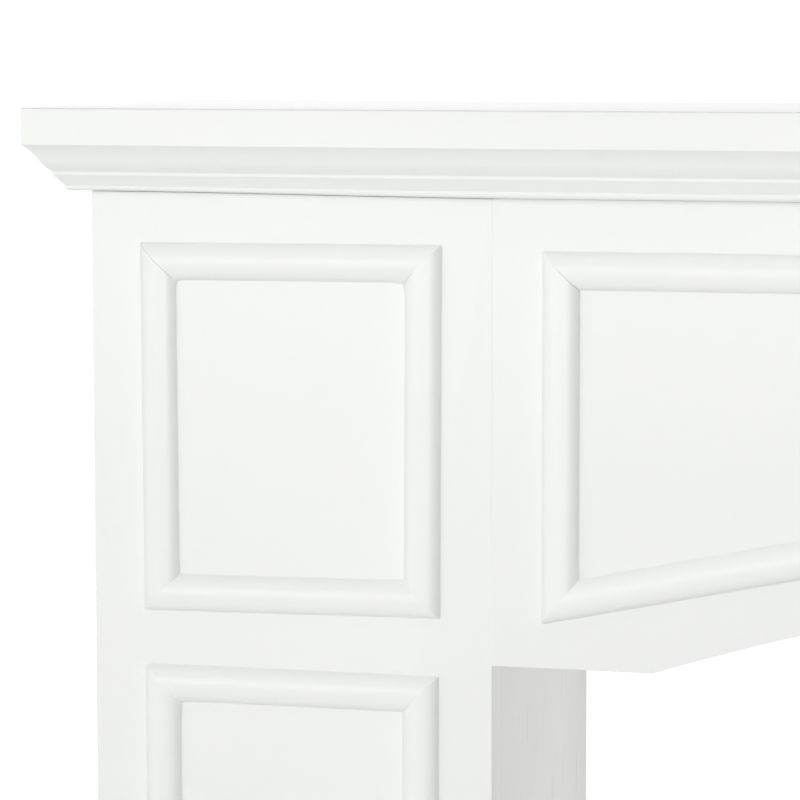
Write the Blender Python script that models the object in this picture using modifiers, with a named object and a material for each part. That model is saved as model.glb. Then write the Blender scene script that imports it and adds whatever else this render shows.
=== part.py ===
"""Painted fireplace mantelpiece: two legs, an arched frieze, a shelf, crown moulding and raised panels.

Metres, +Z up, the floor at Z = 0. X runs along the shelf, the front faces -Y, and the middle of the
shelf's length and depth stands over the origin.
"""
from math import asin, atan2, cos, pi, sin, sqrt, tau

import bmesh
import bpy
from mathutils import Matrix, Vector

# Driving dimensions
OPENING_WIDTH = 1.2192
SHOULDER_HEIGHT = 1.0668
SHOULDER_LENGTH = 0.0852
ARCH_RADIUS = 1.687
FRIEZE_HEIGHT = 0.2446
LEG_WIDTH = 0.219
LEG_DEPTH = 0.240
BOARD_THICKNESS = 0.019
SHELF_THICKNESS = 0.019
SHELF_EDGE_ROUND = 0.0008
BOARD_EDGE_ROUND = 0.0004

# The crown moulding: a flat soffit, a nose rounded below, a slope, a fillet, then an ogee up to the shelf
CROWN_HEIGHT = 0.0258
CROWN_PROJECTION = 0.0286
CROWN_NOSE_PROJECTION = 0.0109
CROWN_NOSE_HEIGHT = 0.0033
CROWN_NOSE_RADIUS = 0.0024
CROWN_SLOPE_HEIGHT = 0.0064
CROWN_FILLET_PROJECTION = 0.0160
CROWN_FILLET_HEIGHT = 0.0017
OGEE_WAIST_PROJECTION = 0.0212
OGEE_ROUND_HEIGHT = 0.0054
OGEE_ROUND_BOW = 0.0003
OGEE_HOLLOW_BOW = 0.0006

# The half-oval bars planted on the boards as panel frames
BAR_WIDTH = 0.0196
BAR_HEIGHT = 0.0063
LEG_PANEL_SIDE_MARGIN = 0.0276
LEG_PANEL_TOP_MARGIN = 0.0252
UPPER_PANEL_HEIGHT = 0.1960
PANEL_SPACING = 0.0302
FOOT_MARGIN = 0.060
FRIEZE_PANEL_SIDE_MARGIN = 0.0260
FRIEZE_PANEL_TOP_MARGIN = 0.0272
SHOULDER_MARGIN = 0.0231
ARCH_MARGIN = 0.0258
FLAT_BAR_LENGTH = 0.349

# Fits and fineness
GAP = 0.0003
ARCH_STEPS = 48
OVAL_STEPS = 12
NOSE_STEPS = 4
OGEE_STEPS = 6
FLAT_ANGLE = 0.002
WELD_DISTANCE = 1e-6

PAINT = (0.92, 0.93, 0.91, 1.0)
PAINT_ROUGHNESS = 0.38

# Places that follow from the sizes
CROWN_BOTTOM = SHOULDER_HEIGHT + FRIEZE_HEIGHT
SHELF_BOTTOM = CROWN_BOTTOM + CROWN_HEIGHT + GAP
FACE_WIDTH = OPENING_WIDTH + 2 * LEG_WIDTH
SHELF_LENGTH = FACE_WIDTH + 2 * CROWN_PROJECTION
SHELF_DEPTH = LEG_DEPTH + CROWN_PROJECTION
WALL_Y = SHELF_DEPTH / 2
FACE_Y = WALL_Y - LEG_DEPTH


def clear_scene():
    """Remove the objects that the file opened with."""
    for old in list(bpy.data.objects):
        bpy.data.objects.remove(old, do_unlink=True)


def new_collection(name):
    """Make a collection in the scene."""
    made = bpy.data.collections.new(name)
    bpy.context.scene.collection.children.link(made)
    return made


def paint(name):
    """White eggshell paint over board."""
    made = bpy.data.materials.new(name)
    made.use_nodes = True
    shader = made.node_tree.nodes["Principled BSDF"]
    shader.inputs["Base Color"].default_value = PAINT
    shader.inputs["Roughness"].default_value = PAINT_ROUGHNESS
    shader.inputs["Metallic"].default_value = 0.0
    made.diffuse_color = PAINT
    return made


def add_object(name, mesh, collection, material, location=(0, 0, 0), turn=(0, 0, 0)):
    """Put a mesh in the collection as a named object."""
    made = bpy.data.objects.new(name, mesh)
    made.location = location
    made.rotation_euler = turn
    mesh.materials.clear()
    mesh.materials.append(material)
    collection.objects.link(made)
    return made


def round_edges(target, width):
    """Ease an object's edges, as sanding and paint do."""
    bevel = target.modifiers.new("eased edges", "BEVEL")
    bevel.width = width
    bevel.segments = 2
    bevel.limit_method = "ANGLE"
    bevel.angle_limit = pi / 6


def add_board(name, low, high, collection, material, edge):
    """A flat board between two corners."""
    low, high = Vector(low), Vector(high)
    work = bmesh.new()
    bmesh.ops.create_cube(work, size=1.0)
    bmesh.ops.scale(work, vec=high - low, verts=work.verts)
    mesh = bpy.data.meshes.new(name)
    work.to_mesh(mesh)
    work.free()
    board = add_object(name, mesh, collection, material, location=(low + high) / 2)
    round_edges(board, edge)
    return board


def slab(name, outline, thickness):
    """Mesh of a flat outline drawn in XY, as thick as asked from Z = 0 up."""
    curve = bpy.data.curves.new(name, "CURVE")
    curve.dimensions = "2D"
    curve.fill_mode = "BOTH"
    curve.extrude = thickness / 2
    spline = curve.splines.new("POLY")
    spline.points.add(len(outline) - 1)
    for point, (x, y) in zip(spline.points, outline):
        point.co = (x, y, 0.0, 1.0)
    spline.use_cyclic_u = True
    drawn = bpy.data.objects.new(name, curve)
    bpy.context.scene.collection.objects.link(drawn)
    bpy.context.view_layer.update()
    evaluated = drawn.evaluated_get(bpy.context.evaluated_depsgraph_get())
    mesh = bpy.data.meshes.new_from_object(evaluated)
    bpy.data.objects.remove(drawn, do_unlink=True)
    bpy.data.curves.remove(curve)
    work = bmesh.new()
    work.from_mesh(mesh)
    bmesh.ops.remove_doubles(work, verts=work.verts, dist=WELD_DISTANCE)
    bmesh.ops.dissolve_limit(work, angle_limit=FLAT_ANGLE, verts=work.verts, edges=work.edges)
    bmesh.ops.translate(work, vec=(0, 0, thickness / 2), verts=work.verts)
    bmesh.ops.recalc_face_normals(work, faces=work.faces)
    work.to_mesh(mesh)
    work.free()
    return mesh


def cut_end(work, point, normal):
    """Saw off what lies past a plane, and close the cut."""
    parts = work.verts[:] + work.edges[:] + work.faces[:]
    cut = bmesh.ops.bisect_plane(
        work, geom=parts, dist=WELD_DISTANCE, plane_co=point, plane_no=normal, clear_outer=True
    )
    edges = [item for item in cut["geom_cut"] if isinstance(item, bmesh.types.BMEdge)]
    bmesh.ops.edgeloop_fill(work, edges=edges)


def mitred_length(name, profile, length, start_normal, end_normal, overrun):
    """A length of moulding along +X whose two ends are sawn at mitres through X = 0 and X = length.

    The profile is drawn in YZ. Each normal points out of the moulding, and half a gap is sawn off
    past it so that two neighbours don't touch.
    """
    mesh = slab(name, profile, length + 2 * overrun)
    turned = Matrix(((0, 0, 1, -overrun), (1, 0, 0, 0), (0, 1, 0, 0), (0, 0, 0, 1)))
    mesh.transform(turned)
    work = bmesh.new()
    work.from_mesh(mesh)
    for place, normal in ((0.0, Vector(start_normal)), (length, Vector(end_normal))):
        cut_end(work, Vector((place, 0, 0)) - normal * GAP / 2, normal)
    bmesh.ops.recalc_face_normals(work, faces=work.faces)
    work.to_mesh(mesh)
    work.free()
    return mesh


def bowed_line(start, end, bow, steps):
    """Points of an arc after its start, bowed to the left of the way from start to end."""
    start, end = Vector(start), Vector(end)
    chord = end - start
    half = chord.length / 2
    radius = (half * half + bow * bow) / (2 * bow)
    left = Vector((-chord.y, chord.x)).normalized()
    centre = (start + end) / 2 - left * (radius - bow)
    first = start - centre
    turn = -2 * asin(half / radius) if bow > 0 else 2 * asin(half / -radius)
    points = []
    for step in range(1, steps + 1):
        angle = turn * step / steps
        x = first.x * cos(angle) - first.y * sin(angle)
        y = first.x * sin(angle) + first.y * cos(angle)
        points.append((centre.x + x, centre.y + y))
    return points


def crown_profile():
    """The crown's section as (Y, Z): the face it is glued to at Y = 0, its soffit at Z = 0."""
    nose = (CROWN_NOSE_PROJECTION - CROWN_NOSE_RADIUS, CROWN_NOSE_RADIUS)
    points = [(GAP, 0.0)]
    for step in range(NOSE_STEPS + 1):
        angle = pi / 2 * step / NOSE_STEPS
        across = CROWN_NOSE_RADIUS * sin(angle)
        points.append((nose[0] + across, nose[1] - CROWN_NOSE_RADIUS * cos(angle)))
    points.append((CROWN_NOSE_PROJECTION, CROWN_NOSE_HEIGHT))
    slope_top = CROWN_NOSE_HEIGHT + CROWN_SLOPE_HEIGHT
    points.append((CROWN_FILLET_PROJECTION, slope_top))
    low = (CROWN_FILLET_PROJECTION, slope_top + CROWN_FILLET_HEIGHT)
    waist = (OGEE_WAIST_PROJECTION, low[1] + OGEE_ROUND_HEIGHT)
    points.append(low)
    points += bowed_line(low, waist, -OGEE_ROUND_BOW, OGEE_STEPS)
    points += bowed_line(waist, (CROWN_PROJECTION, CROWN_HEIGHT), OGEE_HOLLOW_BOW, OGEE_STEPS)
    points.append((GAP, CROWN_HEIGHT))
    return [(-out, up) for out, up in points]


def bar_profile():
    """Half an oval as (Y, Z): its flat back a gap off the board, its outer edge at Z = 0."""
    half = BAR_WIDTH / 2
    points = []
    for step in range(OVAL_STEPS + 1):
        angle = pi * step / OVAL_STEPS
        points.append((-GAP - BAR_HEIGHT * sin(angle), half - half * cos(angle)))
    return points


def add_shelf(collection, material):
    """The board on top, flush with the crown's outer edge."""
    low = (-SHELF_LENGTH / 2, -SHELF_DEPTH / 2, SHELF_BOTTOM)
    high = (SHELF_LENGTH / 2, WALL_Y, SHELF_BOTTOM + SHELF_THICKNESS)
    add_board("shelf_board", low, high, collection, material, SHELF_EDGE_ROUND)


def add_crown(collection, material):
    """The crown across the front, and its two returns along the legs to the wall."""
    profile = crown_profile()
    reach = CROWN_PROJECTION
    slant = sqrt(0.5)
    left, right = (-slant, slant, 0), (slant, slant, 0)
    square_end = (1, 0, 0)
    front = mitred_length("crown_front", profile, FACE_WIDTH, left, right, 2 * reach)
    corner = (-FACE_WIDTH / 2, FACE_Y, CROWN_BOTTOM)
    add_object("crown_front", front, collection, material, location=corner)
    right_mesh = mitred_length("crown_return_right", profile, LEG_DEPTH, left, square_end, 2 * reach)
    right_corner = (FACE_WIDTH / 2, FACE_Y, CROWN_BOTTOM)
    quarter = pi / 2
    add_object("crown_return_right", right_mesh, collection, material, right_corner, (0, 0, quarter))
    left_mesh = mitred_length("crown_return_left", profile, LEG_DEPTH, (-1, 0, 0), right, 2 * reach)
    left_corner = (-FACE_WIDTH / 2, WALL_Y, CROWN_BOTTOM)
    add_object("crown_return_left", left_mesh, collection, material, left_corner, (0, 0, -quarter))


def arch_rise():
    """How far the arch's top stands above the frieze's shoulders."""
    half_chord = OPENING_WIDTH / 2 - SHOULDER_LENGTH
    return ARCH_RADIUS - sqrt(ARCH_RADIUS**2 - half_chord**2)


def frieze_outline():
    """The frieze board seen from the front: flat shoulders, and a low arch between them."""
    half = OPENING_WIDTH / 2 - GAP
    spring = OPENING_WIDTH / 2 - SHOULDER_LENGTH
    top = SHELF_BOTTOM - GAP
    points = [(half, SHOULDER_HEIGHT), (half, top), (-half, top), (-half, SHOULDER_HEIGHT)]
    points.append((-spring, SHOULDER_HEIGHT))
    points += bowed_line((-spring, SHOULDER_HEIGHT), (spring, SHOULDER_HEIGHT), arch_rise(), ARCH_STEPS)
    return points


def add_frieze(collection, material):
    """The arched board between the legs, flush with their front faces."""
    mesh = slab("frieze_board", frieze_outline(), BOARD_THICKNESS)
    upright = (pi / 2, 0, 0)
    front = (0, FACE_Y + BOARD_THICKNESS, 0)
    frieze = add_object("frieze_board", mesh, collection, material, front, upright)
    round_edges(frieze, BOARD_EDGE_ROUND)


def add_leg(side, name, collection, material):
    """A leg of three boards, open at the back: side is -1 for the left one and +1 for the right."""
    inner = OPENING_WIDTH / 2
    outer = inner + LEG_WIDTH
    top = SHELF_BOTTOM - GAP
    back = FACE_Y + BOARD_THICKNESS
    boards = (
        (f"leg_front_{name}", inner, outer, FACE_Y, back),
        (f"leg_inner_return_{name}", inner, inner + BOARD_THICKNESS, back + GAP, WALL_Y),
        (f"leg_outer_return_{name}", outer - BOARD_THICKNESS, outer, back + GAP, WALL_Y),
    )
    for board, near, far, front, rear in boards:
        left, right = sorted((side * near, side * far))
        low, high = (left, front, 0.0), (right, rear, top)
        add_board(board, low, high, collection, material, BOARD_EDGE_ROUND)


def add_panel(prefix, corners, names, collection, material):
    """Frame a panel with mitred bars: its outer corners run anticlockwise as the front shows them."""
    profile = bar_profile()
    count = len(corners)
    points = [Vector(corner) for corner in corners]
    ways = [points[(index + 1) % count] - points[index] for index in range(count)]
    headings = [atan2(way.y, way.x) for way in ways]
    # Half of the angle inside the frame at the corner where each bar starts
    halves = [(pi - (headings[index] - headings[index - 1]) % tau) / 2 for index in range(count)]
    halves = [half if half > 0 else half + pi for half in halves]
    for index, name in enumerate(names):
        near, far = halves[index], halves[(index + 1) % count]
        start_normal = (-sin(near), 0, cos(near))
        end_normal = (sin(far), 0, cos(far))
        full_name = f"{prefix}_{name}"
        length = ways[index].length
        mesh = mitred_length(full_name, profile, length, start_normal, end_normal, BAR_WIDTH)
        place = (points[index].x, FACE_Y, points[index].y)
        add_object(full_name, mesh, collection, material, place, (0, -headings[index], 0))


def add_leg_panels(side, name, collection, material):
    """A short panel beside the frieze and a long one below it."""
    near = OPENING_WIDTH / 2 + LEG_PANEL_SIDE_MARGIN
    far = OPENING_WIDTH / 2 + LEG_WIDTH - LEG_PANEL_SIDE_MARGIN
    left, right = sorted((side * near, side * far))
    upper_top = CROWN_BOTTOM - LEG_PANEL_TOP_MARGIN
    upper_bottom = upper_top - UPPER_PANEL_HEIGHT
    lower_top = upper_bottom - PANEL_SPACING
    names = ("rail_bottom", "stile_right", "rail_top", "stile_left")
    for level, top, bottom in (("upper", upper_top, upper_bottom), ("lower", lower_top, FOOT_MARGIN)):
        corners = ((left, bottom), (right, bottom), (right, top), (left, top))
        add_panel(f"leg_{name}_{level}", corners, names, collection, material)


def add_frieze_panel(collection, material):
    """The frieze's panel: two rising bars and a flat one follow the arch."""
    side = OPENING_WIDTH / 2 - FRIEZE_PANEL_SIDE_MARGIN
    top = CROWN_BOTTOM - FRIEZE_PANEL_TOP_MARGIN
    low = SHOULDER_HEIGHT + SHOULDER_MARGIN
    high = SHOULDER_HEIGHT + arch_rise() + ARCH_MARGIN
    flat = FLAT_BAR_LENGTH / 2
    corners = ((-side, low), (-flat, high), (flat, high), (side, low), (side, top), (-side, top))
    names = ("slope_left", "rail_bottom", "slope_right", "stile_right", "rail_top", "stile_left")
    add_panel("frieze", corners, names, collection, material)


def main():
    """Build every piece of the mantelpiece."""
    clear_scene()
    collection = new_collection("fireplace_mantelpiece")
    board_paint = paint("board_paint")
    moulding_paint = paint("moulding_paint")
    add_shelf(collection, paint("shelf_paint"))
    add_crown(collection, paint("crown_paint"))
    add_frieze(collection, board_paint)
    add_frieze_panel(collection, moulding_paint)
    for side, name in ((-1, "left"), (1, "right")):
        add_leg(side, name, collection, board_paint)
        add_leg_panels(side, name, collection, moulding_paint)


main()
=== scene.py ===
"""Looks of a white painted fireplace mantelpiece: shelf, crown moulding, arched frieze and panelled legs.

Metres, +Z up, the floor at Z = 0. X runs along the shelf and the front faces -Y.
"""

import logging
from dataclasses import dataclass, field
from enum import Enum
from math import asin, atan2, cos, pi, radians, sin, sqrt, tau
from typing import Callable, Sequence

import bmesh
import bpy
from mathutils import Matrix, Vector


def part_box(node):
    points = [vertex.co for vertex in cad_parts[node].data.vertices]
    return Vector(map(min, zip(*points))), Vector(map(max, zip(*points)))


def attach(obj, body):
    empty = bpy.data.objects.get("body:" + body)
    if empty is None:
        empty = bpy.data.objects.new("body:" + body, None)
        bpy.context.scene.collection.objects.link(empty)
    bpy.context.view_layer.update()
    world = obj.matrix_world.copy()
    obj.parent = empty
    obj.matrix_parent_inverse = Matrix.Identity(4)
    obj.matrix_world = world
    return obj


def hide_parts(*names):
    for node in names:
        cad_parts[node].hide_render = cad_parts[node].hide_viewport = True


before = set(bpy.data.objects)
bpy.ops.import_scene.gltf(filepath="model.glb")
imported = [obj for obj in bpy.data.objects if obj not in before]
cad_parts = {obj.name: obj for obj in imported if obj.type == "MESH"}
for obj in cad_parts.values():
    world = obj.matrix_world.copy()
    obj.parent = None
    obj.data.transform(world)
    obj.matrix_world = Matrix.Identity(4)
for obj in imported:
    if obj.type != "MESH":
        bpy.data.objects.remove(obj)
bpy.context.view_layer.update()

LOG = logging.getLogger("mantelpiece")
MM = 0.001
GAP = 0.3 * MM
WELD = 0.001 * MM
# The attribute that darkens paint towards a grey on chosen arrises: painted shade
ARRIS_SHADE = "painted_arris_shade"
Point2 = tuple[float, float]


def linear(hex_colour: str) -> tuple[float, float, float, float]:
    """Turn an sRGB hex colour into linear RGBA.

    Args:
        hex_colour: Six hex digits.

    Returns:
        Red, green, blue and an alpha of 1.
    """
    parts = [int(hex_colour[i : i + 2], 16) / 255 for i in (0, 2, 4)]
    toned = [c / 12.92 if c <= 0.04045 else ((c + 0.055) / 1.055) ** 2.4 for c in parts]
    return (*toned, 1.0)


def add_node(
    tree: bpy.types.NodeTree,
    kind: str,
    settings: dict | None = None,
    values: dict | None = None,
    links: dict | None = None,
) -> bpy.types.Node:
    """Add a node to a tree with its settings, socket values and links.

    Args:
        tree: The shader or geometry tree.
        kind: The node's type name.
        settings: Properties of the node.
        values: Constants of its input sockets, by name or index.
        links: Output sockets that feed its input sockets, by name or index.

    Returns:
        The new node.
    """
    made = tree.nodes.new(kind)
    for name, value in (settings or {}).items():
        setattr(made, name, value)
    for socket, value in (values or {}).items():
        made.inputs[socket].default_value = value
    for socket, source in (links or {}).items():
        tree.links.new(source, made.inputs[socket])
    return made


def reckon(
    tree: bpy.types.NodeTree, operation: str, values: dict | None = None, links: dict | None = None
) -> bpy.types.NodeSocket:
    """Add a maths node to a tree.

    Args:
        tree: The shader or geometry tree.
        operation: What it does with its inputs.
        values: Constants of its input sockets, by index.
        links: Output sockets that feed its input sockets, by index.

    Returns:
        The output socket that holds the result.
    """
    return add_node(tree, "ShaderNodeMath", {"operation": operation}, values, links).outputs["Value"]


def empty_tree(owner: bpy.types.Material | bpy.types.World) -> bpy.types.NodeTree:
    """Give a material or world a node tree with nothing in it.

    Args:
        owner: The material or world.

    Returns:
        Its tree.
    """
    owner.use_nodes = True
    owner.node_tree.nodes.clear()
    return owner.node_tree


def placed(name: str, data: bpy.types.ID) -> bpy.types.Object:
    """Make an object and put it in the scene.

    Args:
        name: The object's name.
        data: Its mesh, light or camera.

    Returns:
        The object.
    """
    made = bpy.data.objects.new(name, data)
    bpy.context.scene.collection.objects.link(made)
    return made


def as_modified(item: bpy.types.Object) -> bpy.types.Mesh:
    """Make a plain mesh of an object as its modifiers shape it.

    Args:
        item: The object.

    Returns:
        The new mesh.
    """
    bpy.context.view_layer.update()
    seen = item.evaluated_get(bpy.context.evaluated_depsgraph_get())
    return bpy.data.meshes.new_from_object(seen)


def closed_mesh(name: str, work: bmesh.types.BMesh) -> bpy.types.Mesh:
    """Turn a closed shape into a mesh whose faces look outwards.

    Args:
        name: Name of the mesh.
        work: The shape, which is spent.

    Returns:
        The mesh.
    """
    bmesh.ops.recalc_face_normals(work, faces=work.faces)
    mesh = bpy.data.meshes.new(name)
    work.to_mesh(mesh)
    work.free()
    return mesh


class Stroke(Enum):
    """Which way the last strokes of the brush or roller ran, as how much each axis is squeezed."""

    ALONG_X = (0.02, 1.0, 1.0)
    ALONG_Y = (1.0, 0.02, 1.0)
    ALONG_Z = (1.0, 1.0, 0.02)


@dataclass(frozen=True)
class EggshellPaint:
    """Water-based eggshell paint on MDF and primed softwood: opaque white with a soft sheen."""

    name: str
    stroke: Stroke
    colour: str = "EEEFED"
    thin_colour: str = "ECEEEB"
    # Grey of the painted shade on arrises, where the piece's attribute asks for it
    arris_shade_colour: str = "C9C8BE"
    roughness: float = 0.28
    uneven: float = 0.01
    stroke_width: float = 1.1 * MM
    stroke_height: float = 0.0008 * MM
    stipple_size: float = 1.8 * MM
    stipple_height: float = 0.002 * MM
    patch_size: float = 71.43 * MM

    def material(self) -> bpy.types.Material:
        """Build the paint's material.

        Returns:
            The material, named for the paint and how it was laid on.
        """
        made = bpy.data.materials.new(self.name)
        tree = empty_tree(made)
        place = add_node(tree, "ShaderNodeTexCoord").outputs["Object"]
        # Brush marks: bristle-wide ridges drawn out along the stroke
        lined = add_node(
            tree, "ShaderNodeMapping", values={"Scale": self.stroke.value}, links={"Vector": place}
        )
        marks = add_node(
            tree,
            "ShaderNodeTexNoise",
            values={"Scale": 1 / self.stroke_width, "Detail": 2.0, "Roughness": 0.6},
            links={"Vector": lined.outputs["Vector"]},
        )
        # Stipple: the fine orange peel that paint dries with
        stipple = add_node(
            tree,
            "ShaderNodeTexNoise",
            values={"Scale": 1 / self.stipple_size, "Detail": 1.0},
            links={"Vector": place},
        )
        # Cover: hand-wide patches where the last coat is a little thinner
        cover = add_node(
            tree,
            "ShaderNodeTexNoise",
            values={"Scale": 1 / self.patch_size, "Detail": 3.0, "Roughness": 0.55},
            links={"Vector": place},
        )
        tint = add_node(
            tree,
            "ShaderNodeMix",
            settings={"data_type": "RGBA"},
            values={"A": linear(self.colour), "B": linear(self.thin_colour)},
            links={"Factor": cover.outputs["Fac"]},
        )
        # Painted shade: arrises darkened towards a grey, where the piece's own attribute says
        painted_shade_mask = add_node(tree, "ShaderNodeAttribute", settings={"attribute_name": ARRIS_SHADE})
        coat = add_node(
            tree,
            "ShaderNodeMix",
            settings={"data_type": "RGBA"},
            values={"B": linear(self.arris_shade_colour)},
            links={"Factor": painted_shade_mask.outputs["Fac"], "A": tint.outputs["Result"]},
        )
        sheen = add_node(
            tree,
            "ShaderNodeMapRange",
            values={"To Min": self.roughness - self.uneven, "To Max": self.roughness + self.uneven},
            links={"Value": marks.outputs["Fac"]},
        )
        ridges = add_node(
            tree,
            "ShaderNodeBump",
            values={"Strength": 1.0, "Distance": self.stroke_height},
            links={"Height": marks.outputs["Fac"]},
        )
        peel = add_node(
            tree,
            "ShaderNodeBump",
            values={"Strength": 1.0, "Distance": self.stipple_height},
            links={"Height": stipple.outputs["Fac"], "Normal": ridges.outputs["Normal"]},
        )
        shader = add_node(
            tree,
            "ShaderNodeBsdfPrincipled",
            values={"Metallic": 0.0, "IOR": 1.5},
            links={
                "Base Color": coat.outputs["Result"],
                "Roughness": sheen.outputs["Result"],
                "Normal": peel.outputs["Normal"],
            },
        )
        add_node(tree, "ShaderNodeOutputMaterial", links={"Surface": shader.outputs["BSDF"]})
        return made


class Paints:
    """The paint of each piece, by the way its last strokes ran."""

    def __init__(self) -> None:
        """Mix the smooth coats, a quick one for the legs' returns and a darker one for the shelf."""
        self.smooth = {
            stroke: EggshellPaint(f"eggshell_paint_laid_off_{stroke.name.lower()}", stroke).material()
            for stroke in Stroke
        }
        # The returns: faint hand-wide blotches where the roller left less paint
        self.quick = EggshellPaint(
            "eggshell_paint_quick_coat",
            Stroke.ALONG_Z,
            thin_colour="DEDFDA",
            uneven=0.015,
            stroke_height=0.0012 * MM,
        ).material()
        # The shelf: a little darker than the rest
        self.darker_shelf = EggshellPaint(
            "eggshell_paint_darker_shelf",
            Stroke.ALONG_X,
            colour="EBECEA",
            thin_colour="E9EBE8",
        ).material()

    def along(self, stroke: Stroke) -> bpy.types.Material:
        """Give the smooth paint whose strokes run that way."""
        return self.smooth[stroke]


class Mouldings:
    """Lengths of moulding, made by one Geometry Nodes tree that sweeps a section and mitres its ends."""

    def __init__(self) -> None:
        """Build the tree."""
        self.tree = self._tree()
        items = [item for item in self.tree.interface.items_tree if item.item_type == "SOCKET"]
        self.sockets = {item.name: item.identifier for item in items if item.in_out == "INPUT"}

    @staticmethod
    def _tree() -> bpy.types.NodeTree:
        """Build the tree that turns a section's outline into a mitred length along +X.

        Returns:
            The geometry tree.
        """
        tree = bpy.data.node_groups.new("mitred_length", "GeometryNodeTree")
        inputs = {
            "Section": "Geometry",
            "Length": "Float",
            "Start Slant": "Float",
            "Start Trim": "Float",
            "End Slant": "Float",
            "End Trim": "Float",
            "Across": "Vector",
            "Stations": "Int",
            "Paint": "Material",
        }
        for label, kind in inputs.items():
            tree.interface.new_socket(label, in_out="INPUT", socket_type=f"NodeSocket{kind}")
        tree.interface.new_socket("Moulding", in_out="OUTPUT", socket_type="NodeSocketGeometry")
        given = add_node(tree, "NodeGroupInput").outputs
        outline = add_node(tree, "GeometryNodeMeshToCurve", links={"Mesh": given["Section"]})
        # The path: stations along the length, crowded towards both ends where the mitres are worked
        tip = add_node(tree, "ShaderNodeCombineXYZ", links={"X": given["Length"]})
        line = add_node(tree, "GeometryNodeCurvePrimitiveLine", links={"End": tip.outputs["Vector"]})
        path = add_node(
            tree,
            "GeometryNodeResampleCurve",
            links={"Curve": line.outputs["Curve"], "Count": given["Stations"]},
        )
        along = add_node(tree, "GeometryNodeSplineParameter")
        turned = reckon(tree, "MULTIPLY", values={1: pi}, links={0: along.outputs["Factor"]})
        wave = reckon(tree, "COSINE", links={0: turned})
        crowded = add_node(
            tree,
            "ShaderNodeMapRange",
            values={"From Min": 1.0, "From Max": -1.0, "To Min": 0.0},
            links={"Value": wave, "To Max": given["Length"]},
        )
        station = add_node(tree, "ShaderNodeCombineXYZ", links={"X": crowded.outputs["Result"]})
        spaced = add_node(
            tree,
            "GeometryNodeSetPosition",
            links={"Geometry": path.outputs["Curve"], "Position": station.outputs["Vector"]},
        )
        swept = add_node(
            tree,
            "GeometryNodeCurveToMesh",
            values={"Fill Caps": True},
            links={"Curve": spaced.outputs["Geometry"], "Profile Curve": outline.outputs["Curve"]},
        )
        # The mitres: each end slides along the length in proportion to the distance across it
        where = add_node(tree, "GeometryNodeInputPosition").outputs["Position"]
        across = add_node(
            tree,
            "ShaderNodeVectorMath",
            settings={"operation": "DOT_PRODUCT"},
            links={0: where, 1: given["Across"]},
        )
        slides = []
        for end in ("Start", "End"):
            links = {0: across.outputs["Value"], 1: given[f"{end} Slant"], 2: given[f"{end} Trim"]}
            slides.append(reckon(tree, "MULTIPLY_ADD", links=links))
        back = reckon(tree, "MULTIPLY", values={1: -1.0}, links={0: slides[1]})
        reach = add_node(tree, "ShaderNodeSeparateXYZ", links={"Vector": where})
        slide = add_node(
            tree,
            "ShaderNodeMapRange",
            settings={"clamp": False},
            values={"From Min": 0.0},
            links={
                "Value": reach.outputs["X"],
                "From Max": given["Length"],
                "To Min": slides[0],
                "To Max": back,
            },
        )
        offset = add_node(tree, "ShaderNodeCombineXYZ", links={"X": slide.outputs["Result"]})
        mitred = add_node(
            tree,
            "GeometryNodeSetPosition",
            links={"Geometry": swept.outputs["Mesh"], "Offset": offset.outputs["Vector"]},
        )
        whole = {"Geometry": mitred.outputs["Geometry"]}
        real = add_node(tree, "GeometryNodeRealizeInstances", links=whole)
        painted = add_node(
            tree,
            "GeometryNodeSetMaterial",
            links={"Geometry": real.outputs["Geometry"], "Material": given["Paint"]},
        )
        add_node(tree, "NodeGroupOutput", links={"Moulding": painted.outputs["Geometry"]})
        return tree

    def length(
        self,
        name: str,
        section: Sequence[Point2],
        size: float,
        slants: Point2,
        trims: Point2,
        across: tuple[float, float, float],
        stations: int,
        paint: bpy.types.Material,
    ) -> bpy.types.Mesh:
        """Sweep a section and mitre its ends.

        Args:
            name: Name of the mesh.
            section: The section's outline as (out of the face, up).
            size: Length between the mitres' outer points, along +X.
            slants: How far each end slides inwards for each metre across.
            trims: How much more is cut off each end.
            across: The direction across the moulding in which its mitres run.
            stations: How many sections the length has.
            paint: The paint it takes.

        Returns:
            A closed mesh along +X from the origin, its face towards -Y and its outline's up towards +Z.
        """
        outline = bpy.data.meshes.new(name)
        count = len(section)
        # The sweep lays a section's first axis along -Y and its second along -Z
        points = [(out, -up, 0.0) for out, up in section]
        outline.from_pydata(points, [(i, (i + 1) % count) for i in range(count)], [])
        work = placed(name, outline)
        modifier = work.modifiers.new("mitred length", "NODES")
        modifier.node_group = self.tree
        values = {
            "Length": size,
            "Start Slant": slants[0],
            "End Slant": slants[1],
            "Start Trim": trims[0],
            "End Trim": trims[1],
            "Across": across,
            "Stations": stations,
            "Paint": paint,
        }
        for label, value in values.items():
            modifier[self.sockets[label]] = value
        mesh = as_modified(work)
        mesh.name = name
        bpy.data.objects.remove(work, do_unlink=True)
        bpy.data.meshes.remove(outline)
        shape = bmesh.new()
        shape.from_mesh(mesh)
        bmesh.ops.remove_doubles(shape, verts=shape.verts, dist=WELD)
        bmesh.ops.recalc_face_normals(shape, faces=shape.faces)
        shape.to_mesh(mesh)
        shape.free()
        return mesh


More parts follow.
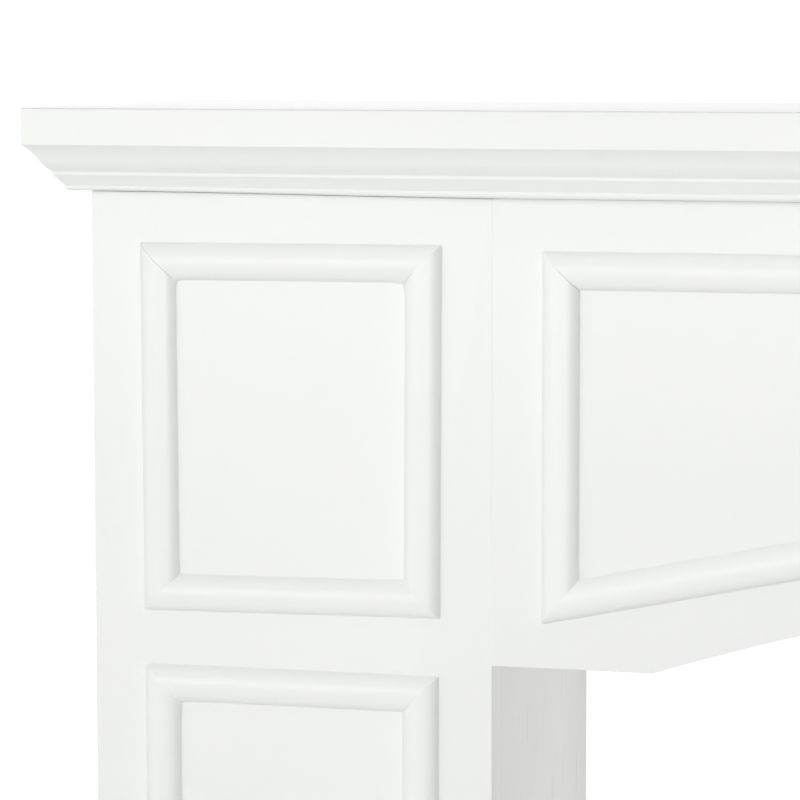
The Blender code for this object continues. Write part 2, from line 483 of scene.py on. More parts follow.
def finish_piece(
    name: str,
    mesh: bpy.types.Mesh,
    paint: bpy.types.Material,
    nodes: Sequence[str] = (),
    smooth_angle: float = radians(35),
) -> bpy.types.Object:
    """Make a painted piece of a mesh that is already in its place, and put it on the frame.

    Args:
        name: The piece's name.
        mesh: Its mesh, in the row frame.
        paint: The paint it takes.
        nodes: The CAD nodes that it stands for.
        smooth_angle: Edges sharper than this stay sharp.

    Returns:
        The piece.
    """
    mesh.name = name
    mesh.materials.clear()
    mesh.materials.append(paint)
    mesh.polygons.foreach_set("use_smooth", [True] * len(mesh.polygons))
    mesh.set_sharp_from_angle(angle=smooth_angle)
    mesh.update()
    piece = placed(name, mesh)
    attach(piece, "root")
    if nodes:
        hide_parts(*nodes)
    LOG.info("%s: %d faces", name, len(mesh.polygons))
    return piece


def bowed_line(start: Point2, end: Point2, bow: float, steps: int) -> list[Point2]:
    """Points of an arc after its start, bowed to the left of the way from start to end.

    Args:
        start: Where the arc starts.
        end: Where it ends.
        bow: How far its middle stands off the chord.
        steps: How many points it has after the start.

    Returns:
        The points, the last one at the end.
    """
    first, last = Vector(start), Vector(end)
    chord = last - first
    half = chord.length / 2
    radius = (half * half + bow * bow) / (2 * bow)
    left = Vector((-chord.y, chord.x)).normalized()
    centre = (first + last) / 2 - left * (radius - bow)
    arm = first - centre
    turn = -2 * asin(half / radius) if bow > 0 else 2 * asin(half / -radius)
    points = []
    for step in range(1, steps + 1):
        angle = turn * step / steps
        x = arm.x * cos(angle) - arm.y * sin(angle)
        y = arm.x * sin(angle) + arm.y * cos(angle)
        points.append((centre.x + x, centre.y + y))
    return points


def softened(points: Sequence[Point2], radii: dict[int, float], steps: int = 4) -> list[Point2]:
    """Round some corners of a closed outline, as paint does.

    Args:
        points: The outline's corners.
        radii: Radius of each corner that is rounded, by its index.
        steps: How many points a rounded corner gets, less one.

    Returns:
        The new outline.
    """
    made = []
    count = len(points)
    for index, point in enumerate(points):
        if index not in radii:
            made.append(tuple(point))
            continue
        here = Vector(point)
        to_last = (Vector(points[index - 1]) - here).normalized()
        to_next = (Vector(points[(index + 1) % count]) - here).normalized()
        half = to_last.angle(to_next) / 2
        reach = radii[index] * cos(half) / sin(half)
        start, end = here + to_last * reach, here + to_next * reach
        for step in range(steps + 1):
            t = step / steps
            made.append(tuple(start * (1 - t) ** 2 + here * 2 * t * (1 - t) + end * t**2))
    return made


def eased_board(
    name: str,
    low: Vector,
    high: Vector,
    radius: float,
    eased: Callable[[Vector], bool],
    cuts: int = 0,
) -> bpy.types.Mesh:
    """A flat board, some of whose arrises are sanded round.

    Args:
        name: Name of the mesh.
        low: Its lowest corner.
        high: Its highest corner.
        radius: Radius of a sanded arris.
        eased: Says of an edge's middle, counted from -1 to 1 on each axis, whether it is sanded.
        cuts: How many times it is divided along X, so that it can bend.

    Returns:
        The board's closed mesh, in its place.
    """
    work = bmesh.new()
    bmesh.ops.create_cube(work, size=2.0)
    edges = [e for e in work.edges if eased((e.verts[0].co + e.verts[1].co) / 2)]
    for vert in work.verts:
        vert.co = (low + high) / 2 + Vector(vert.co) * (high - low) / 2
    bmesh.ops.bevel(work, geom=edges, offset=radius, segments=4, profile=0.5, affect="EDGES")
    cross_cut(work, low.x, high.x, cuts)
    return closed_mesh(name, work)


def cross_cut(work: bmesh.types.BMesh, start: float, end: float, cuts: int) -> None:
    """Divide a shape evenly along X.

    Args:
        work: The shape.
        start: Its lower end in X.
        end: Its upper end in X.
        cuts: How many cuts it gets between them.
    """
    for step in range(1, cuts + 1):
        place = Vector((start + (end - start) * step / (cuts + 1), 0, 0))
        parts = work.verts[:] + work.edges[:] + work.faces[:]
        bmesh.ops.bisect_plane(work, geom=parts, dist=WELD, plane_co=place, plane_no=(1, 0, 0))


def rebated(mesh: bpy.types.Mesh, cutter: bpy.types.Mesh) -> bpy.types.Mesh:
    """Cut a rebate out of a board.

    Args:
        mesh: The board's mesh.
        cutter: The mesh of what is cut away.

    Returns:
        The new mesh; both others are removed.
    """
    board, blade = placed("board", mesh), placed("blade", cutter)
    cut = board.modifiers.new("rebate", "BOOLEAN")
    cut.operation = "DIFFERENCE"
    cut.object = blade
    made = as_modified(board)
    for item in (board, blade):
        bpy.data.objects.remove(item, do_unlink=True)
    for spent in (mesh, cutter):
        bpy.data.meshes.remove(spent)
    return made


def paint_shade(mesh: bpy.types.Mesh, amount: Callable[[Vector], float]) -> None:
    """Say where a piece's paint is darkened, as painted shade.

    Args:
        mesh: The piece's mesh.
        amount: Gives a vertex's painted shade, from 0 to 1, by its place.
    """
    layer = mesh.attributes.new(ARRIS_SHADE, "FLOAT", "POINT")
    layer.data.foreach_set("value", [amount(vert.co) for vert in mesh.vertices])


@dataclass(frozen=True)
class Settling:
    """How the long shelf and its crown lie on the legs: up at the ends and down in the middle."""

    half_length: float
    leg_edge: float
    lift: float = 0.8 * MM
    drop: float = 1.5 * MM
    foot_rise: float = 0.55 * MM
    foot_swing: float = 0.8 * MM
    foot_run: float = 250 * MM

    def board(self, x: float) -> float:
        """Tell how far the shelf stands above its drawn height.

        Args:
            x: Place along the shelf.

        Returns:
            The height to add.
        """
        return self.lift - self.drop * cos(pi / 2 * x / self.half_length)

    def soffit(self, x: float) -> float:
        """Tell how far the crown's foot, planed to sit on the leg, stands above its drawn height.

        Args:
            x: Place along the shelf.

        Returns:
            The height to add.
        """
        along = min(1.0, max(0.0, (self.leg_edge - abs(x)) / self.foot_run))
        return self.board(x) + self.foot_rise + self.foot_swing * cos(pi * along)


@dataclass(frozen=True)
class ShadowGap:
    """The fine open joint between the crown's foot and the boards' faces."""

    settling: Settling
    depth: float = 3.0 * MM
    spare: float = 5.0 * MM
    cuts: int = 40

    def cutter(self, node: str, width: float) -> bpy.types.Mesh:
        """Draw what is cut from the top of a board's face, behind the crown.

        Args:
            node: The board's CAD node.
            width: How far the cut reaches below the crown's foot.

        Returns:
            The cutter's mesh.
        """
        low, high = (Vector(corner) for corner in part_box(node))
        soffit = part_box("crown_front")[0][2]
        start = Vector((low.x - self.spare, low.y - self.spare, soffit - width))
        end = Vector((high.x + self.spare, low.y + self.depth, high.z + self.spare))
        mesh = eased_board("gap", start, end, 0.0, lambda middle: False, self.cuts)
        for vert in mesh.vertices:
            if vert.co.z < soffit:
                vert.co.z += self.settling.soffit(vert.co.x)
        return mesh


@dataclass
class Shelf:
    """The flat board on top, with a little painted shade along the front's upper arris."""

    settling: Settling
    arris: float = 0.9 * MM
    arris_reach: float = 0.95
    arris_shade_amount: float = 0.2
    cuts: int = 60

    def build(self, paints: Paints) -> None:
        """Make the shelf from its CAD box.

        Args:
            paints: The paints.
        """
        low, high = (Vector(corner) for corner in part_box("shelf_board"))
        mesh = eased_board("shelf", low, high, self.arris, lambda m: m.z > 0 or abs(m.z) < 0.5, self.cuts)
        inner = high.z - self.arris_reach * self.arris
        front = low.y + self.arris_reach * self.arris
        # Painted shade: a darker line along the front's upper arris
        paint_shade(mesh, lambda at: self.arris_shade_amount if at.z > inner and at.y < front else 0.0)
        for vert in mesh.vertices:
            vert.co.z += self.settling.board(vert.co.x)
        finish_piece("shelf_painted", mesh, paints.darker_shelf, ["shelf_board"])


@dataclass
class Crown:
    """The crown moulding under the shelf, in front and along both legs.

    Its section has a flat soffit, a nose rounded below, a slope, a fillet and an ogee up to the shelf.
    """

    settling: Settling
    projection: float = 28.6 * MM
    nose_projection: float = 10.9 * MM
    nose_height: float = 3.3 * MM
    nose_radius: float = 2.4 * MM
    nose_step: float = 0.3 * MM
    slope_height: float = 6.4 * MM
    fillet_projection: float = 16.0 * MM
    fillet: float = 1.7 * MM
    waist_projection: float = 21.2 * MM
    round_height: float = 5.4 * MM
    round_bow: float = 0.3 * MM
    hollow_bow: float = 0.6 * MM
    paint_radius: float = 0.35 * MM
    crease_give: float = 0.3
    nose_steps: int = 12
    round_steps: int = 8
    hollow_steps: int = 14
    stations: int = 128

    def section(self, height: float) -> list[Point2]:
        """Draw the section as (out of the face, up from the soffit).

        Args:
            height: Height of the moulding.

        Returns:
            The outline, from the soffit's back edge round the front to the top's back edge.
        """
        centre = (self.nose_projection - self.nose_radius, self.nose_radius)
        points = [(0.0, 0.0)]
        for step in range(self.nose_steps + 1):
            angle = pi / 2 * step / self.nose_steps
            across = self.nose_radius * sin(angle)
            points.append((centre[0] + across, centre[1] - self.nose_radius * cos(angle)))
        nose_top = len(points)
        points.append((self.nose_projection, self.nose_height - self.nose_step))
        points.append((self.nose_projection - self.nose_step, self.nose_height))
        low = (self.fillet_projection, self.nose_height + self.slope_height)
        high = (self.fillet_projection, low[1] + self.fillet)
        waist = (self.waist_projection, high[1] + self.round_height)
        points += [low, high]
        points += bowed_line(high, waist, -self.round_bow, self.round_steps)
        points += bowed_line(waist, (self.projection, height), self.hollow_bow, self.hollow_steps)
        # The joint with the shelf is filled and painted over
        points += [(self.projection, height + GAP), (0.0, height + GAP)]
        radii = {
            nose_top: 0.5 * self.paint_radius,
            nose_top + 1: self.paint_radius,
            nose_top + 2: 2 * self.paint_radius,
            nose_top + 3: self.paint_radius,
        }
        return softened(points, radii)

    def settle(self, mesh: bpy.types.Mesh, soffit: float) -> None:
        """Let the moulding follow the shelf above and the boards below, as it was nailed on.

        Args:
            mesh: The moulding's mesh in its place.
            soffit: Height of the soffit.
        """
        crease, fillet = self.nose_height, self.nose_height + self.slope_height
        for vert in mesh.vertices:
            up = vert.co.z - soffit
            board = self.settling.board(vert.co.x)
            foot = self.settling.soffit(vert.co.x) - board
            if up < crease:
                give = 1.0 - (1.0 - self.crease_give) * max(0.0, up) / crease
            else:
                give = self.crease_give * max(0.0, (fillet - up) / (fillet - crease))
            vert.co.z += board + give * foot

    def build(self, paints: Paints, mouldings: Mouldings) -> None:
        """Make the front length and its two returns.

        Args:
            paints: The paints.
            mouldings: The maker of mitred lengths.
        """
        front_low, front_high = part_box("crown_front")
        board_low, board_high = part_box("leg_front_left")[0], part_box("leg_front_right")[1]
        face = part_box("leg_front_left")[0][1]
        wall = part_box("crown_return_left")[1][1]
        soffit = front_low[2]
        section = self.section(front_high[2] - soffit)
        out = (0.0, -1.0, 0.0)
        width = board_high[0] - board_low[0]
        depth = wall - face
        # Node, length, slants of the ends, first corner, turn and the brush's way
        lengths = (
            ("crown_front", width, (-1.0, -1.0), (board_low[0], face), 0.0, Stroke.ALONG_X),
            ("crown_return_right", depth, (-1.0, 0.0), (board_high[0], face), pi / 2, Stroke.ALONG_Y),
            ("crown_return_left", depth, (0.0, -1.0), (board_low[0], wall), -pi / 2, Stroke.ALONG_Y),
        )
        for node, size, slants, corner, turn, stroke in lengths:
            paint = paints.along(stroke)
            mesh = mouldings.length(node, section, size, slants, (0.0, 0.0), out, self.stations, paint)
            mesh.transform(Matrix.Translation((*corner, soffit)) @ Matrix.Rotation(turn, 4, "Z"))
            self.settle(mesh, soffit)
            finish_piece(f"{node}_painted", mesh, paint, [node])


@dataclass
class Frieze:
    """The board between the legs, with flat shoulders and a low arch."""

    gap: ShadowGap
    gap_width: float = 0.5 * MM
    arch_radius: float = 1.687
    shoulder: float = 85.2 * MM
    arris: float = 0.3 * MM
    arch_steps: int = 96

    def outline(self) -> list[Point2]:
        """Draw the board from the front.

        Returns:
            Its corners as (X, Z): round the top to the left shoulder, then along the arch.
        """
        low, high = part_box("frieze_board")
        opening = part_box("leg_front_right")[0][0]
        spring = opening - self.shoulder
        rise = self.arch_radius - sqrt(self.arch_radius**2 - spring**2)
        points = [(high[0], low[2]), (high[0], high[2]), (low[0], high[2]), (low[0], low[2])]
        points.append((-spring, low[2]))
        points += bowed_line((-spring, low[2]), (spring, low[2]), rise, self.arch_steps)
        return points

    def build(self, paints: Paints) -> None:
        """Make the board with eased arrises.

        Args:
            paints: The paints.
        """
        low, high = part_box("frieze_board")
        work = bmesh.new()
        ring = [work.verts.new((x, low[1], z)) for x, z in self.outline()]
        front = work.faces.new(ring)
        pushed = bmesh.ops.extrude_face_region(work, geom=[front])
        moved = [item for item in pushed["geom"] if isinstance(item, bmesh.types.BMVert)]
        bmesh.ops.translate(work, verts=moved, vec=(0, high[1] - low[1], 0))
        bmesh.ops.recalc_face_normals(work, faces=work.faces)
        edges = [e for e in work.edges if self._eased(e, low, high)]
        bmesh.ops.bevel(work, geom=edges, offset=self.arris, segments=3, profile=0.5, affect="EDGES")
        board = closed_mesh("frieze", work)
        mesh = rebated(board, self.gap.cutter("frieze_board", self.gap_width))
        finish_piece("frieze_painted", mesh, paints.along(Stroke.ALONG_X), ["frieze_board"])

    @staticmethod
    def _eased(edge: bmesh.types.BMEdge, low: Vector, high: Vector) -> bool:
        """Say whether an edge is a free arris, not butted against a neighbour.

        Args:
            edge: The edge.
            low: The board's lowest corner.
            high: The board's highest corner.

        Returns:
            Whether it is eased.
        """
        middle = (edge.verts[0].co + edge.verts[1].co) / 2
        butted = min(abs(middle.x - low[0]), abs(middle.x - high[0]), abs(middle.z - high[2])) < MM
        return edge.calc_face_angle() > radians(45) and not butted


@dataclass
class Leg:
    """A box leg of three boards, open at the back."""

    side: str
    gap: ShadowGap
    gap_width: float = 0.75 * MM
    arris: float = 0.25 * MM

    def build(self, paints: Paints) -> None:
        """Make the front board and the two returns.

        Args:
            paints: The paints.
        """
        paint = paints.along(Stroke.ALONG_Z)
        front = f"leg_front_{self.side}"
        low, high = (Vector(corner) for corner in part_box(front))
        face = eased_board(front, low, high, self.arris, lambda m: m.y < -0.5 and abs(m.x) > 0.5)
        face = rebated(face, self.gap.cutter(front, self.gap_width))
        finish_piece(f"{front}_painted", face, paint, [front])
        for part in ("inner_return", "outer_return"):
            node = f"leg_{part}_{self.side}"
            low, high = (Vector(corner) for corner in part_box(node))
            # The seam behind the front board is filled and painted over
            low.y -= GAP
            board = eased_board(node, low, high, self.arris, lambda m: m.y > 0.5 and abs(m.x) > 0.5)
            finish_piece(f"{node}_painted", board, paints.quick, [node])


@dataclass
class JointFiller:
    """Filler wiped into the butt joint between a leg and the frieze: a fine groove beside a low ridge."""

    side: str
    half_width: float = 1.4 * MM
    groove_depth: float = 0.24 * MM
    ridge_height: float = 0.10 * MM
    back: float = 0.8 * MM
    below_crown: float = 1.0 * MM
    stations: int = 40

    def profile(self, high: float) -> list[Point2]:
        """Draw the filler's section.

        Args:
            high: How far up the joint the section is, from 0 to 1.

        Returns:
            The outline as (across, away from the leg's face).
        """
        groove = self.groove_depth * (0.15 + 0.85 * min(1.0, 2.2 * high))
        ridge = self.ridge_height * (1.3 - 0.5 * high)
        shape = (
            (-1.0, -0.02 * MM),
            (-0.72, 0.6 * ridge),
            (-0.5, ridge),
            (-0.3, 0.5 * ridge - 0.2 * groove),
            (0.0, -groove),
            (0.25, -0.5 * groove),
            (0.5, 0.04 * MM),
            (1.0, -0.02 * MM),
        )
        points = [(across * self.half_width, out) for across, out in shape]
        return points + [(0.1 * MM, -self.back), (-0.1 * MM, -self.back)]

    def build(self, paints: Paints) -> None:
        """Make the strip from the frieze's shoulder up to the crown.

        Args:
            paints: The paints.
        """
        leg_low, leg_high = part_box(f"leg_front_{self.side}")
        joint = leg_high[0] if self.side == "left" else leg_low[0]
        way = 1.0 if self.side == "left" else -1.0
        bottom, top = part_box("frieze_board")[0][2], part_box("crown_front")[0][2] - self.below_crown
        work = bmesh.new()
        rings = []
        for step in range(self.stations + 1):
            high = step / self.stations
            z = bottom + (top - bottom) * high
            ring = [work.verts.new((joint + way * x, leg_low[1] - out, z)) for x, out in self.profile(high)]
            rings.append(ring)
        for below, above in zip(rings, rings[1:]):
            for index in range(len(below)):
                after = (index + 1) % len(below)
                work.faces.new((below[index], below[after], above[after], above[index]))
        for ring in (rings[0], rings[-1]):
            work.faces.new(ring)
        name = f"joint_filler_{self.side}"
        mesh = closed_mesh(name, work)
        finish_piece(name, mesh, paints.along(Stroke.ALONG_Z), smooth_angle=radians(60))


@dataclass(frozen=True)
class MitreJoint:
    """How one corner of a panel frame came out.

    The mitre stands open by a width at its outer and inner end, filler is smeared along the bars' inner
    feet, and the outer corner is sanded round.
    """

    open_outer: float = 0.0
    open_inner: float = 0.0
    smear: float = 0.0
    smear_reach: float = 14 * MM
    rounded: float = 0.0


@dataclass
class PanelFrame:
    """Half-oval bars planted round a panel and mitred at its corners."""

    prefix: str
    names: Sequence[str]
    corners: Sequence[Point2]
    face: float
    joints: dict[int, MitreJoint] = field(default_factory=dict)
    width: float = 19.6 * MM
    height: float = 6.3 * MM
    foot: float = 0.25 * MM
    soft_flank: float = 1.35
    sink: float = 0.2 * MM
    foot_share: float = 0.07
    arc_steps: int = 24
    stations: int = 96

    def section(self, soft_outside: bool) -> list[Point2]:
        """Draw half an oval whose feet run into the board, one flank of it flattened by paint.

        Args:
            soft_outside: Whether the flattened flank is the outer one.

        Returns:
            The outline as (out of the face, up from the outer foot).
        """
        half = self.width / 2
        rim = []
        # The lowest two steps on each side of the arc make way for the feet
        for step in range(2, self.arc_steps - 1):
            angle = pi * step / self.arc_steps
            soft = (step < self.arc_steps / 2) == soft_outside
            out = self.height * sin(angle) ** (self.soft_flank if soft else 1.0)
            rim.append((out, half - half * cos(angle)))
        # A foot's fillet of paint, in shares of its width
        fillet = ((0.0, -1.0), (0.083, -0.625), (0.29, -0.29), (0.667, 0.0))
        outer = [(-self.sink, -self.foot)] + [(out * self.foot, up * self.foot) for out, up in fillet]
        inner = [(out, self.width - up) for out, up in reversed(outer)]
        return outer + rim + inner

    def work_corner(self, mesh: bpy.types.Mesh, length: float, far: bool, joint: MitreJoint) -> None:
        """Smear filler along the inner foot and round the outer corner at one end of a bar.

        Args:
            mesh: The bar's mesh along +X.
            length: The bar's outer length.
            far: Whether the end is the far one.
            joint: How the corner came out.
        """
        centre = Vector((joint.rounded, joint.rounded))
        foot = self.foot_share * self.width
        for vert in mesh.vertices:
            along = length - vert.co.x if far else vert.co.x
            inside = (vert.co.z - self.width + foot) / foot
            near = 1.0 - (along - self.width) / joint.smear_reach
            if joint.smear > 0 and inside > 0 and near > 0:
                smear = joint.smear * min(1.0, inside) * min(1.0, near) ** 2
                vert.co.z += smear
                vert.co.y -= 0.5 * smear if vert.co.y < 0 else 0.0
            spot = Vector((along, vert.co.z))
            if joint.rounded > 0 and max(spot) < joint.rounded and (spot - centre).length > joint.rounded:
                spot = centre + (spot - centre).normalized() * joint.rounded
                vert.co.x = length - spot.x if far else spot.x
                vert.co.z = spot.y

    def mitre(self, half: float, joint: MitreJoint) -> Point2:
        """Work out how one end of a bar is cut.

        Args:
            half: Half of the angle between the bar and its neighbour.
            joint: How the corner came out.

        Returns:
            How far the end slides inwards for each metre across, and how much more is cut off.
        """
        spread = (joint.open_inner - joint.open_outer) / 2 / sin(half) / self.width
        return cos(half) / sin(half) + spread, joint.open_outer / 2 / sin(half)

    def build(self, paints: Paints, mouldings: Mouldings) -> None:
        """Make the bars, in order round the frame.

        Args:
            paints: The paints.
            mouldings: The maker of mitred lengths.
        """
        count = len(self.corners)
        points = [Vector(corner) for corner in self.corners]
        ways = [points[(i + 1) % count] - points[i] for i in range(count)]
        headings = [atan2(way.y, way.x) for way in ways]
        halves = [(pi - (headings[i] - headings[i - 1]) % tau) / 2 for i in range(count)]
        halves = [half if half > 0 else half + pi for half in halves]
        for index, name in enumerate(self.names):
            after = (index + 1) % count
            ends = [(halves[corner], self.joints.get(corner, MitreJoint())) for corner in (index, after)]
            slants, trims = zip(*(self.mitre(half, joint) for half, joint in ends))
            level = abs(ways[index].x) > abs(ways[index].y)
            paint = paints.along(Stroke.ALONG_X if level else Stroke.ALONG_Z)
            node = f"{self.prefix}_{name}"
            across = (0.0, 0.0, 1.0)
            length = ways[index].length
            # The brush laid its paint thick on the flanks that face up or left
            section = self.section(soft_outside=-ways[index].x - ways[index].y > 0)
            mesh = mouldings.length(node, section, length, slants, trims, across, self.stations, paint)
            for far, (_, joint) in zip((False, True), ends):
                self.work_corner(mesh, length, far, joint)
            turn = Matrix.Rotation(-headings[index], 4, "Y")
            place = Matrix.Translation((points[index].x, self.face, points[index].y))
            mesh.transform(place @ turn)
            finish_piece(f"{node}_painted", mesh, paint, [node])


@dataclass
class Panels:
    """All the panel frames: two on each leg and one on the frieze."""

    leg_side_margin: float = 27.6 * MM
    leg_top_margin: float = 25.2 * MM
    upper_height: float = 196.0 * MM
    spacing: float = 30.2 * MM
    foot_margin: float = 60.0 * MM
    frieze_side_margin: float = 26.0 * MM
    frieze_top_margin: float = 27.2 * MM
    shoulder_margin: float = 23.1 * MM
    arch_rise: float = 83.5 * MM
    arch_margin: float = 25.8 * MM
    flat_bar: float = 349.0 * MM

    # Corners are counted from the bottom left one, counter-clockwise as seen from the front.
    # Millimetres right and up by which the left half's corners were laid off their drawn places
    laid_off: dict[str, tuple[Point2, ...]] = field(
        default_factory=lambda: {
            "leg_left_upper": ((0.4, -1.2), (-0.3, 0.6), (0.7, 0.3), (-0.5, -0.4)),
            "leg_left_lower": ((0.6, 0.0), (-1.1, 0.0), (-1.1, -0.1), (0.6, -0.1)),
            "frieze": ((0.5, 0.2), (0, 0.3), (0, 0), (0, 0), (0, 0), (0.6, -0.25)),
        }
    )
    # Corners that came out less than perfect
    joints: dict[str, dict[int, MitreJoint]] = field(
        default_factory=lambda: {
            "leg_left_upper": {
                0: MitreJoint(smear=0.3 * MM),
                1: MitreJoint(smear=0.5 * MM),
                2: MitreJoint(smear=1.1 * MM, smear_reach=9 * MM),
                3: MitreJoint(0.12 * MM, 0.2 * MM, smear=0.8 * MM, smear_reach=5 * MM),
            },
            "leg_left_lower": {3: MitreJoint(smear=0.6 * MM, rounded=3.0 * MM)},
            "frieze": {
                0: MitreJoint(smear=0.6 * MM, rounded=1.5 * MM),
                5: MitreJoint(open_inner=0.25 * MM),
            },
        }
    )

    def build(self, paints: Paints, mouldings: Mouldings) -> None:
        """Make every frame.

        Args:
            paints: The paints.
            mouldings: The maker of mitred lengths.
        """
        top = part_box("crown_front")[0][2]
        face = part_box("leg_front_left")[0][1]
        names = ("rail_bottom", "stile_right", "rail_top", "stile_left")
        upper_top = top - self.leg_top_margin
        upper_bottom = upper_top - self.upper_height
        levels = (
            ("upper", upper_top, upper_bottom),
            ("lower", upper_bottom - self.spacing, self.foot_margin),
        )
        for side in ("left", "right"):
            low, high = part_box(f"leg_front_{side}")
            left, right = low[0] + self.leg_side_margin, high[0] - self.leg_side_margin
            for level, upper, lower in levels:
                corners = [(left, lower), (right, lower), (right, upper), (left, upper)]
                self.frame(f"leg_{side}_{level}", names, corners, face).build(paints, mouldings)
        self.frieze(top, face).build(paints, mouldings)

    def frieze(self, top: float, face: float) -> PanelFrame:
        """Set out the frieze's frame.

        Args:
            top: Height of the crown's soffit.
            face: The boards' front plane.

        Returns:
            The frame, with two bars that rise along the arch.
        """
        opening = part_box("leg_front_right")[0][0]
        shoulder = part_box("frieze_board")[0][2]
        side = opening - self.frieze_side_margin
        upper = top - self.frieze_top_margin
        low = shoulder + self.shoulder_margin
        high = shoulder + self.arch_rise + self.arch_margin
        flat = self.flat_bar / 2
        corners = [(-side, low), (-flat, high), (flat, high), (side, low), (side, upper), (-side, upper)]
        names = ("slope_left", "rail_bottom", "slope_right", "stile_right", "rail_top", "stile_left")
        return self.frame("frieze", names, corners, face)

    def frame(
        self, prefix: str, names: Sequence[str], corners: Sequence[Point2], face: float
    ) -> PanelFrame:
        """Lay out one frame as it came out by hand.

        Args:
            prefix: What its nodes' names start with.
            names: The rest of each bar's name.
            corners: Its outer corners as drawn.
            face: The boards' front plane.

        Returns:
            The frame.
        """
        off = self.laid_off.get(prefix, ((0.0, 0.0),) * len(corners))
        laid = [(x + dx * MM, z + dz * MM) for (x, z), (dx, dz) in zip(corners, off)]
        return PanelFrame(prefix, names, laid, face, self.joints.get(prefix, {}))


@dataclass(frozen=True)
class Softbox:
    """A softbox or strip light that looks at the part of the mantelpiece that the photograph shows."""

    name: str
    azimuth: float
    elevation: float
    distance: float
    width: float
    height: float
    watts: float
    aim: tuple[float, float, float] = (-0.45, -0.1, 1.15)

    def build(self) -> None:
        """Hang the softbox; its azimuth is counted from straight in front, to the right."""
        light = bpy.data.lights.new(self.name, "AREA")
        light.shape = "RECTANGLE"
        light.size = self.width
        light.size_y = self.height
        light.energy = self.watts
        made = placed(self.name, light)
        turn, tilt = radians(self.azimuth), radians(self.elevation)
        way = Vector((sin(turn) * cos(tilt), -cos(turn) * cos(tilt), sin(tilt)))
        made.location = Vector(self.aim) + way * self.distance
        made.rotation_mode = "QUATERNION"
        made.rotation_quaternion = (-way).to_track_quat("-Z", "Y")


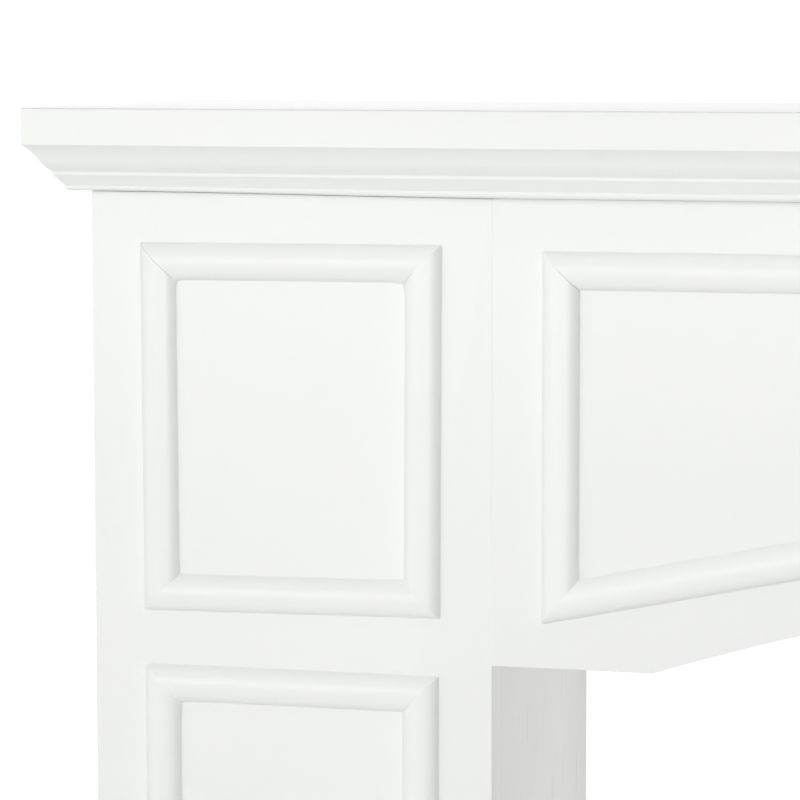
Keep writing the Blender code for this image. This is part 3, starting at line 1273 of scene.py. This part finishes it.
@dataclass
class Studio:
    """A white backdrop that the camera sees as pure white, a dimmer room and softboxes."""

    # How strongly the room shines from the back, the back left, the left, the right and above
    glow: dict[tuple[float, float, float], float] = field(
        default_factory=lambda: {
            (0, 1, 0): 1.0,
            (-0.71, 0.71, 0): 0.45,
            (-1, 0, 0): 0.55,
            (1, 0, 0): 0.1,
            (0, 0, 1): 0.07,
        }
    )
    backdrop_strength: float = 1.05
    floor_colour: str = "F2F2F0"
    floor_radius: float = 3.6
    # Name, azimuth, elevation, distance, width, height and watts
    softboxes: Sequence[Softbox] = (
        Softbox("top_softbox", 0, 65, 3.5, 1.3, 1.3, 9.1),
        Softbox("right_softbox", 25, 10, 3.5, 1.3, 1.3, 15.2),
        Softbox("front_softbox", 0, 10, 3.5, 1.3, 1.3, 9.6),
        Softbox("low_softbox", -18, -12, 3.5, 1.3, 1.3, 2.8),
        Softbox("near_right_low_softbox", 10, 0, 1.6, 0.8, 0.8, 4.1),
        Softbox("near_right_softbox", 10, 20, 1.6, 0.8, 0.8, 2.0),
        Softbox("near_right_high_softbox", 20, 45, 1.6, 0.8, 0.8, 1.7),
        Softbox("near_left_low_softbox", -20, 0, 1.6, 0.8, 0.8, 1.2),
        Softbox("near_left_softbox", -20, 20, 1.6, 0.8, 0.8, 0.5),
        Softbox("near_left_high_softbox", -20, 40, 1.6, 0.8, 0.8, 0.6),
        Softbox("far_left_high_softbox", -50, 40, 1.6, 0.8, 0.8, 0.75),
        Softbox("left_strip_low", -40, 5, 2.2, 1.8, 0.25, 5.1),
        Softbox("left_strip", -40, 14, 2.2, 1.8, 0.25, 4.3),
    )

    def build(self) -> None:
        """Set the world, the floor and the lights."""
        self._world()
        self._floor()
        for softbox in self.softboxes:
            softbox.build()

    def _world(self) -> None:
        """Light the room from its sides, and show white behind the mantelpiece."""
        world = bpy.data.worlds.new("white_room")
        bpy.context.scene.world = world
        tree = empty_tree(world)
        way = add_node(tree, "ShaderNodeTexCoord").outputs["Generated"]
        links = {}
        for side, strength in self.glow.items():
            facing = add_node(
                tree,
                "ShaderNodeVectorMath",
                settings={"operation": "DOT_PRODUCT"},
                values={1: side},
                links={0: way},
            )
            links[0] = reckon(tree, "MAXIMUM", values={1: 0.0}, links={0: facing.outputs["Value"]})
            # Each side's share is added to the sum of those before it
            links[2] = reckon(tree, "MULTIPLY_ADD", values={1: strength, 2: 0.0}, links=links)
        white = (1, 1, 1, 1)
        room = add_node(tree, "ShaderNodeBackground", values={"Color": white}, links={"Strength": links[2]})
        shown = {"Color": white, "Strength": self.backdrop_strength}
        backdrop = add_node(tree, "ShaderNodeBackground", values=shown)
        seen = add_node(tree, "ShaderNodeLightPath")
        both = add_node(
            tree,
            "ShaderNodeMixShader",
            links={0: seen.outputs["Is Camera Ray"], 1: room.outputs[0], 2: backdrop.outputs[0]},
        )
        add_node(tree, "ShaderNodeOutputWorld", links={"Surface": both.outputs[0]})

    def _floor(self) -> None:
        """Lay a pale floor that fades out towards its rim."""
        work = bmesh.new()
        bmesh.ops.create_circle(work, cap_ends=True, segments=96, radius=self.floor_radius)
        bmesh.ops.translate(work, verts=work.verts, vec=(0, 0, -0.5 * MM))
        mesh = bpy.data.meshes.new("studio_floor")
        work.to_mesh(mesh)
        work.free()
        floor = placed("studio_floor", mesh)
        # Matt white paint, clear towards the rim, so that the floor has no visible edge
        paint = bpy.data.materials.new("matt_studio_floor")
        tree = empty_tree(paint)
        place = add_node(tree, "ShaderNodeTexCoord").outputs["Object"]
        reach = add_node(tree, "ShaderNodeVectorMath", {"operation": "LENGTH"}, links={0: place})
        fade = add_node(
            tree,
            "ShaderNodeMapRange",
            settings={"interpolation_type": "SMOOTHSTEP"},
            values={"From Min": 0.5 * self.floor_radius, "From Max": self.floor_radius},
            links={"Value": reach.outputs["Value"]},
        )
        matt = add_node(tree, "ShaderNodeBsdfDiffuse", values={"Color": linear(self.floor_colour)})
        clear = add_node(tree, "ShaderNodeBsdfTransparent")
        both = add_node(
            tree,
            "ShaderNodeMixShader",
            links={0: fade.outputs["Result"], 1: matt.outputs[0], 2: clear.outputs[0]},
        )
        add_node(tree, "ShaderNodeOutputMaterial", links={"Surface": both.outputs[0]})
        mesh.materials.append(paint)


@dataclass
class PhotoCamera:
    """The camera that took the photograph, fitted to the mantelpiece's straight edges."""

    place: tuple[float, float, float] = (-0.1941, -1.8388, 1.3886)
    yaw: float = -0.2621
    pitch: float = -0.1018
    roll: float = -0.0016
    focal_pixels: float = 3455.0
    photo_pixels: float = 800.0
    sensor: float = 36.0

    def build(self) -> None:
        """Make the camera and give it to the scene."""
        ahead = Matrix.Rotation(-self.yaw, 3, "Z") @ Vector((0.0, cos(self.pitch), sin(self.pitch)))
        level = Vector((cos(self.yaw), -sin(self.yaw), 0.0))
        upright = level.cross(ahead)
        right = level * cos(self.roll) + upright * sin(self.roll)
        up = upright * cos(self.roll) - level * sin(self.roll)
        data = bpy.data.cameras.new("photo_camera")
        data.sensor_width = self.sensor
        data.lens = self.focal_pixels * self.sensor / self.photo_pixels
        data.clip_start = 0.05
        data.clip_end = 100.0
        camera = placed("photo_camera", data)
        axes = Matrix((right, up, -ahead)).transposed().to_4x4()
        camera.matrix_world = Matrix.Translation(self.place) @ axes
        bpy.context.scene.camera = camera


def main() -> None:
    """Build every sub-assembly of the mantelpiece, then the studio and the camera."""
    logging.basicConfig(level=logging.INFO, format="%(name)s: %(message)s")
    view = bpy.context.scene.view_settings
    view.view_transform = "Standard"
    view.look = "None"
    PhotoCamera().build()
    paints = Paints()
    mouldings = Mouldings()
    settling = Settling(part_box("shelf_board")[1][0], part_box("leg_front_right")[1][0])
    gap = ShadowGap(settling)
    Shelf(settling).build(paints)
    Crown(settling).build(paints, mouldings)
    Frieze(gap).build(paints)
    for side in ("left", "right"):
        Leg(side, gap).build(paints)
        JointFiller(side).build(paints)
    Panels().build(paints, mouldings)
    Studio().build()


if __name__ == "__main__":
    main()
